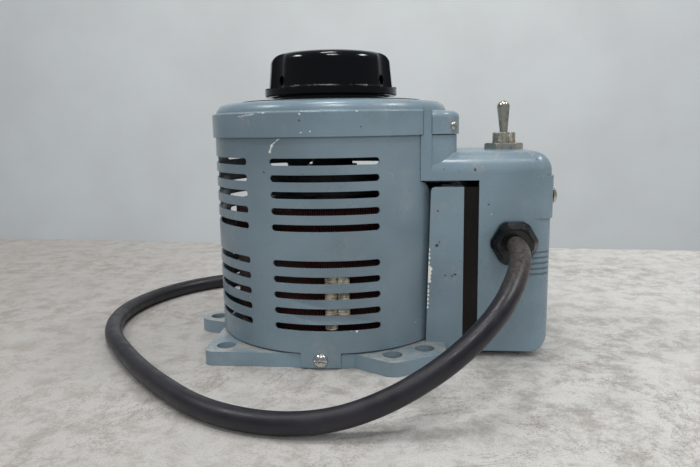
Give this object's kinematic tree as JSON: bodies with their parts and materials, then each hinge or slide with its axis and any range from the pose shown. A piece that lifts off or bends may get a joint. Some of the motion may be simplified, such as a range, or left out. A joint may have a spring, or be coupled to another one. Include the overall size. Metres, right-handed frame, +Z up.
{
  "type": "variable autotransformer",
  "caption": "Bench variable autotransformer: perforated round case on a lugged base, finger-grip knob on a domed lid, side terminal box with a toggle switch and outlet, coiled cord with plug.",
  "frame": {"origin": "on the shaft's axis, in the plane of the base's underside, which stands on the table", "axes": "+Z up along the shaft towards the knob, +X towards the terminal housing, -Y the side where the cord leaves"},
  "size_m": [0.2545, 0.35, 0.1514],
  "materials": {
    "enamel": "blue-grey baked enamel, semi-gloss, chipped",
    "bakelite": "glossy black moulded phenolic",
    "black_plastic": "black moulded plastic",
    "phenolic": "dark brown laminate, satin",
    "fibre": "brown insulating fibre",
    "nickel": "nickel plate",
    "brass": "dull brass",
    "steel": "plain steel",
    "copper": "enamelled copper wire",
    "core_steel": "wound silicon steel strip",
    "dial_black": "black enamelled dial plate, satin",
    "sleeve": "cream insulating sleeve",
    "aluminium": "satin",
    "carbon": "carbon-graphite",
    "wire_pvc": "wire insulation",
    "cord_rubber": "black flexible cord jacket, dusty"
  },
  "bodies": {
    "stand": {"base_casting": "enamel", "perforated_cover": "enamel", "cover_screws": "nickel", "lid": "enamel", "hood_screws": "nickel", "dial_plate": "dial_black", "dial_rivets": "aluminium", "lower_coil_ring": "fibre", "core": "core_steel", "core_insulation": "fibre", "winding": "copper", "upper_coil_ring": "fibre", "clamp_plate": "steel", "clamp_screws": "steel", "winding_leads": "copper", "tap_sleeve": "sleeve", "lower_bushing": "brass", "upper_bushing": "brass", "upper_bushing_nut": "brass", "stop_plate": "aluminium", "contact_block": "phenolic", "contact_finger": "brass", "terminal_board": "phenolic", "terminal_screws": "brass", "terminal_tags": "brass", "terminal_housing": "enamel", "housing_screws": "nickel", "receptacle": "black_plastic", "receptacle_contacts": "brass", "receptacle_strap": "steel", "strap_screws": "steel", "switch_body": "black_plastic", "switch_frame": "steel", "switch_bushing": "nickel", "switch_nuts": "nickel", "switch_terminals": "brass", "strain_relief": "black_plastic", "cord_jacket_inside": "cord_rubber", "supply_wires": "wire_pvc", "power_cord": "cord_rubber", "cord_tail": "cord_rubber", "cord_coil": "cord_rubber", "plug_body": "cord_rubber", "plug_blades": "brass"},
    "rotor": {"shaft": "steel", "shaft_collar": "steel", "set_screws": "steel", "brush_rotor": "aluminium", "brush_holder": "brass", "brush_cap": "brass", "brush_spring": "steel", "slip_ring": "brass", "control_knob": "bakelite", "knob_insert": "brass", "knob_set_screws": "steel"},
    "brush": {"carbon_brush": "carbon"},
    "lever": {"switch_lever": "nickel"}
  },
  "joints": [
    {"name": "rotor_turn", "type": "hinge", "parent": "stand", "child": "rotor", "pos_m": [0, 0, 0], "axis": [0, 0, -1], "range_deg": [0, 318]},
    {"name": "brush_lift", "type": "slide", "parent": "rotor", "child": "brush", "axis": [0, 0, 1], "range_m": [0, 0.0015], "stiffness_N_per_m": 300, "springref_m": -0.004, "deforming": ["brush_spring"]},
    {"name": "toggle_throw", "type": "hinge", "parent": "stand", "child": "lever", "pos_m": [0.0904, 0, 0.103], "axis": [1, 0, 0], "range_deg": [0, 25]}
  ]
}
